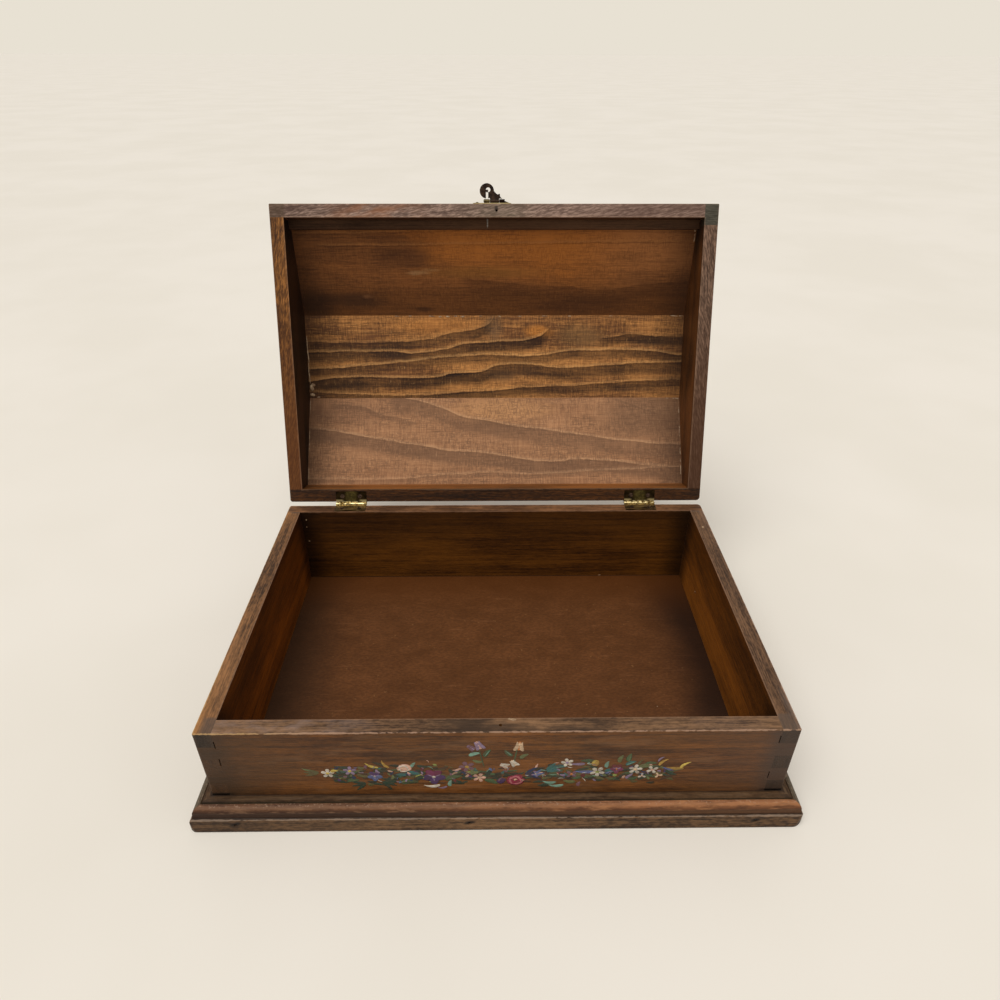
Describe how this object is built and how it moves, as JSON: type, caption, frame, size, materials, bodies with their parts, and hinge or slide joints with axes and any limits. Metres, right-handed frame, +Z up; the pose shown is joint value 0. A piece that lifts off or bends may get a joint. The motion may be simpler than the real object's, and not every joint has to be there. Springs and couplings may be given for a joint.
{
  "type": "wooden keepsake box",
  "caption": "Finger-jointed wooden keepsake box on a moulded plinth, with a crowned plank lid on butt hinges and a swinging hasp, resting open.",
  "frame": {"origin": "middle of the bottom panel's underside, on the surface the box stands on", "axes": "+X along the front towards the viewer's right, +Y from the front to the hinges, +Z up"},
  "size_m": [0.367, 0.3446, 0.3044],
  "materials": {
    "base_wood": "dark brown stain, worn wax, visible grain",
    "panel_wood": "reddish brown stain, flat",
    "plinth_wood": "dark brown stain, rubbed to orange brown on the ovolo",
    "lid_board_wood": "dark brown stain, worn grey brown at the rim",
    "lid_plank_wood": "brown stain over strong pine grain",
    "corner_block_wood": "dark end grain",
    "hinge_brass": "tarnished, bright at the knuckles",
    "latch_brass": "tarnished",
    "dark_bronze": "near-black antique bronze",
    "brad_steel": "dark oxidised steel"
  },
  "bodies": {
    "base": {"base_back_wall": "base_wood", "base_front_wall": "base_wood", "base_left_wall": "base_wood", "base_right_wall": "base_wood", "bottom_panel": "panel_wood", "hinge_base_screws": "hinge_brass", "hinge_left_base_leaf": "hinge_brass", "hinge_left_pin": "hinge_brass", "hinge_right_base_leaf": "hinge_brass", "hinge_right_pin": "hinge_brass", "panel_brads": "brad_steel", "plinth_back": "plinth_wood", "plinth_brads": "brad_steel", "plinth_front": "plinth_wood", "plinth_left": "plinth_wood", "plinth_right": "plinth_wood"},
    "lid": {"hinge_left_lid_leaf": "hinge_brass", "hinge_lid_screws": "hinge_brass", "hinge_right_lid_leaf": "hinge_brass", "latch_long_nail": "latch_brass", "latch_nails": "latch_brass", "latch_pin": "latch_brass", "latch_plate": "latch_brass", "lid_back_board": "lid_board_wood", "lid_corner_block": "corner_block_wood", "lid_front_board": "lid_board_wood", "lid_front_plank": "lid_plank_wood", "lid_front_strip": "lid_board_wood", "lid_left_gable": "lid_board_wood", "lid_rear_plank": "lid_plank_wood", "lid_right_gable": "lid_board_wood", "lid_top_plank": "lid_plank_wood", "plank_brads": "brad_steel"},
    "latch": {"latch_hasp": "dark_bronze"}
  },
  "joints": [
    {"name": "lid_hinge", "type": "hinge", "parent": "base", "child": "lid", "pos_m": [0, 0.1172, 0.0714], "axis": [1, 0, 0], "range_deg": [0, 109]},
    {"name": "latch_swing", "type": "hinge", "parent": "lid", "child": "latch", "pos_m": [0, 0.19672, 0.29251], "axis": [1, 0, 0], "range_deg": [-60, 90]}
  ]
}
